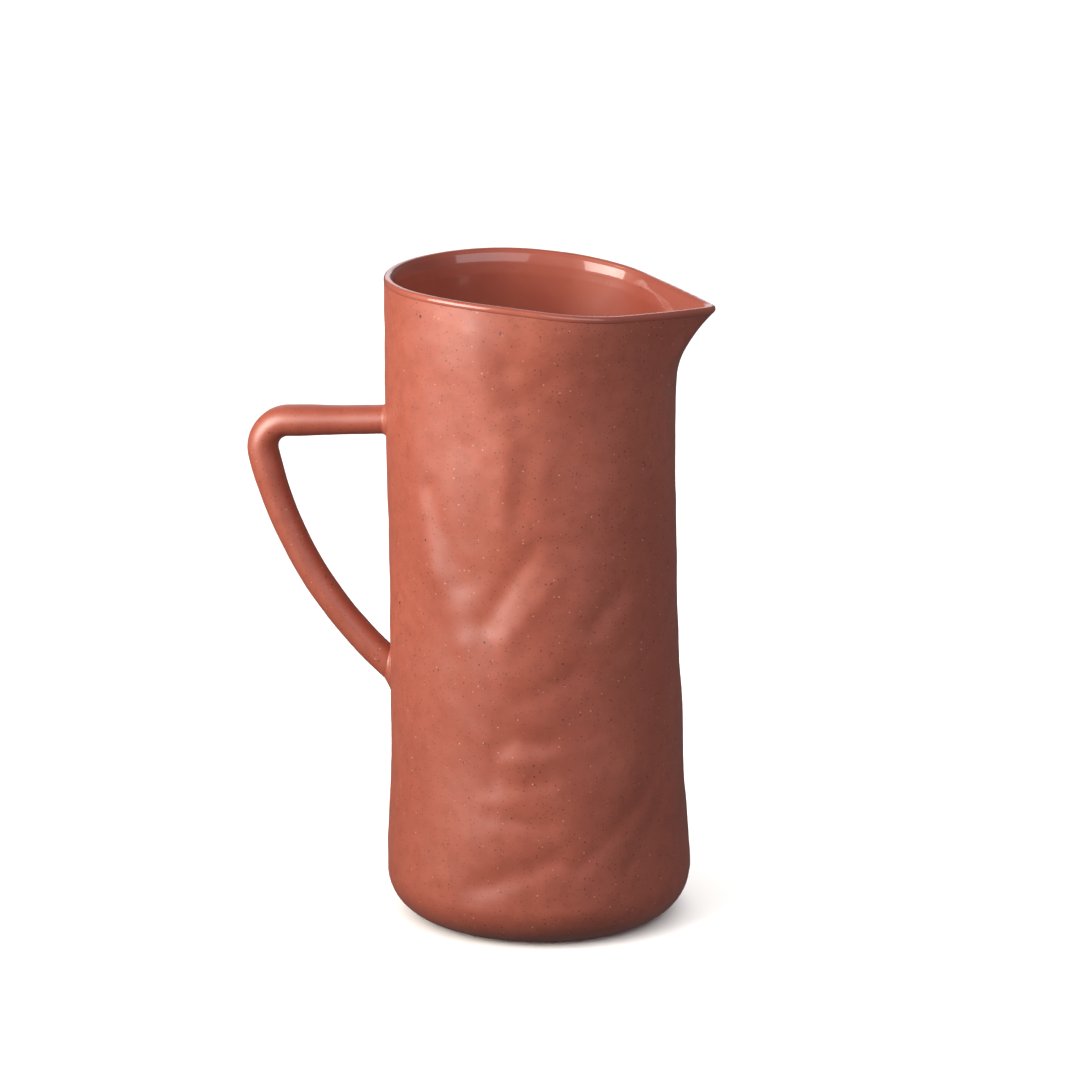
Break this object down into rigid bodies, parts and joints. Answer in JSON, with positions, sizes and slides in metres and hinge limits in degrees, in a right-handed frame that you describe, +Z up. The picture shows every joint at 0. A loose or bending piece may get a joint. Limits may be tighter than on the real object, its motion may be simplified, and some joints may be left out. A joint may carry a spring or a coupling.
{
  "type": "ceramic pitcher",
  "caption": "Tall hand-built stoneware pitcher: softly dented, slightly tapered body, rim drawn out to a beak spout, angular luted loop handle, glossy glazed inside.",
  "frame": {"origin": "centre of the flat resting face, on the surface the pitcher stands on", "axes": "+Z up the vessel, +X towards the spout, the handle along -X, +Y across"},
  "size_m": [0.1808, 0.1176, 0.2504],
  "materials": {
    "stoneware": "matte terracotta stoneware with fine dark specks",
    "liner_glaze": "clear glossy glaze over terracotta clay"
  },
  "bodies": {
    "root": {"body_wall": "stoneware", "base_slab": "stoneware", "seam_coil": "stoneware", "handle": "stoneware", "upper_handle_joint": "stoneware", "lower_handle_joint": "stoneware", "liner_glaze": "liner_glaze"}
  },
  "joints": []
}
